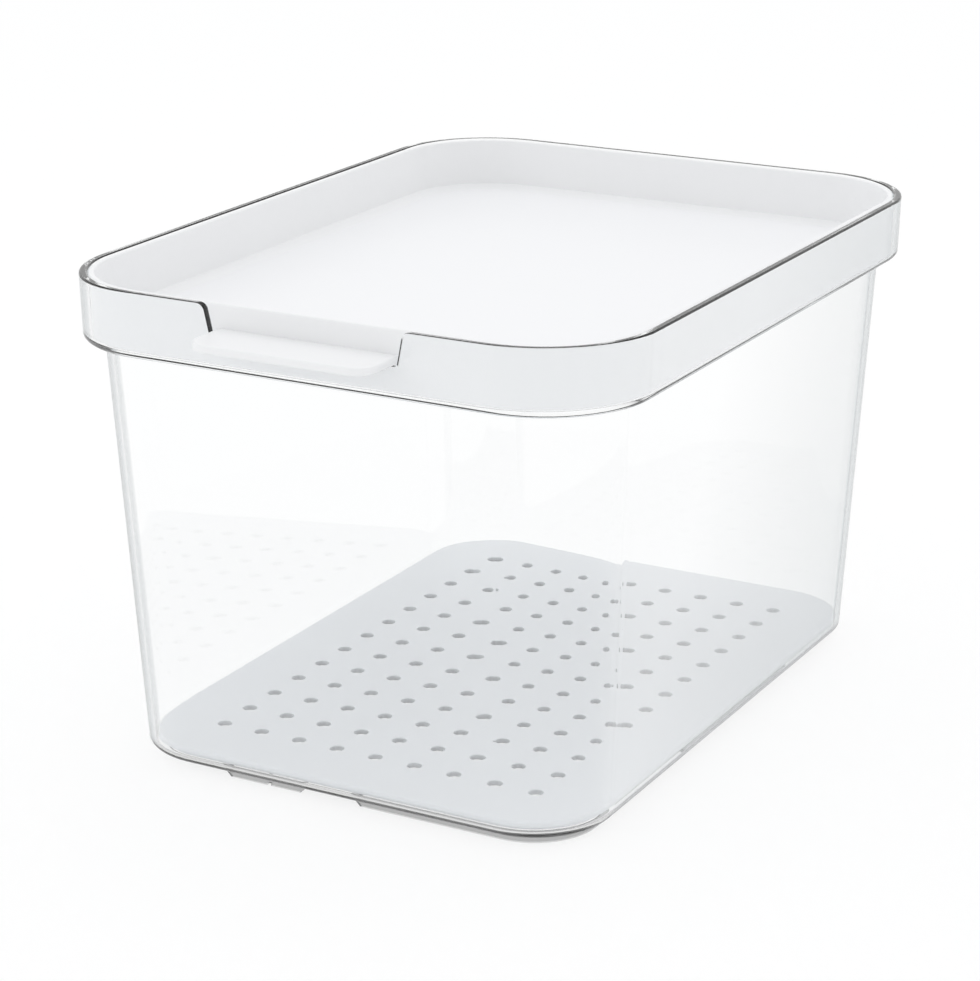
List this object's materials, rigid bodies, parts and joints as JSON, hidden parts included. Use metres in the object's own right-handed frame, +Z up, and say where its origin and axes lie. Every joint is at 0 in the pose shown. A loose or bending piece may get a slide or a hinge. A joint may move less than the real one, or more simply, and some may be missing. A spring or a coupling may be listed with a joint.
{
  "type": "fridge organizer bin",
  "caption": "Clear rounded storage bin with a drafted body and raised collar, a white drop-in tray lid with a front pull tab, and a loose perforated drain tray on its floor.",
  "frame": {"origin": "centre of the whole box in plan, on the plane that the feet stand on", "axes": "+Z up, X across the short side, Y along the long side, with the pull tab towards -Y"},
  "size_m": [0.216, 0.3063, 0.18],
  "materials": {
    "clear_plastic": "clear, polished injection moulding",
    "lid_plastic": "white, satin moulding",
    "tray_plastic": "cool white, satin moulding"
  },
  "bodies": {
    "bin": {"bin": "clear_plastic"},
    "lid": {"lid": "lid_plastic"},
    "drain_tray": {"drain_tray": "tray_plastic"}
  },
  "joints": [
    {"name": "lid_lift", "type": "slide", "parent": "bin", "child": "lid", "axis": [0, 0, 1], "range_m": [0, 0.12]},
    {"name": "tray_lift", "type": "slide", "parent": "bin", "child": "drain_tray", "axis": [0, 0, 1], "range_m": [0, 0.148]}
  ]
}
